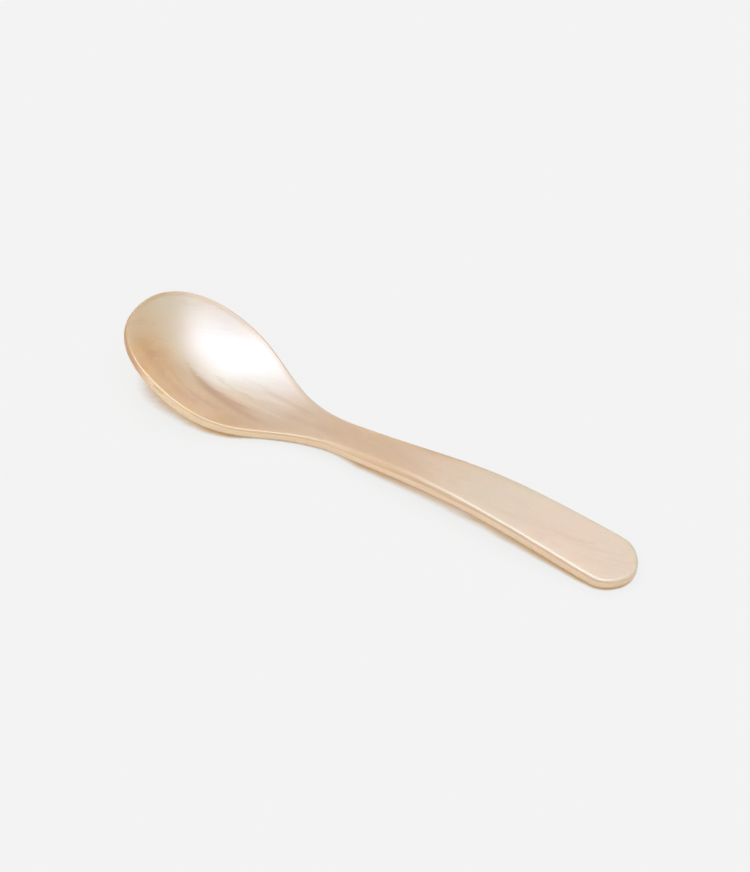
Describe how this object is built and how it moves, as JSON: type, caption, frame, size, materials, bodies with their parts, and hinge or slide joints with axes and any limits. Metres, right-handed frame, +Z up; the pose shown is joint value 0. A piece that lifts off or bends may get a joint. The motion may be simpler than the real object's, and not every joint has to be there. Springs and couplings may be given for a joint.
{
  "type": "egg spoon",
  "caption": "One-piece shell egg spoon with a tilted oval bowl, a narrow neck and an arched flat handle with a half-round end.",
  "frame": {"origin": "centre of the bounding box in plan, on the table the spoon lies on", "axes": "+X from the tip of the bowl to the end of the handle, +Z up from the table"},
  "size_m": [0.1252, 0.0296, 0.0148],
  "materials": {
    "nacre": "polished pearly shell"
  },
  "bodies": {
    "root": {"spoon": "nacre"}
  },
  "joints": []
}
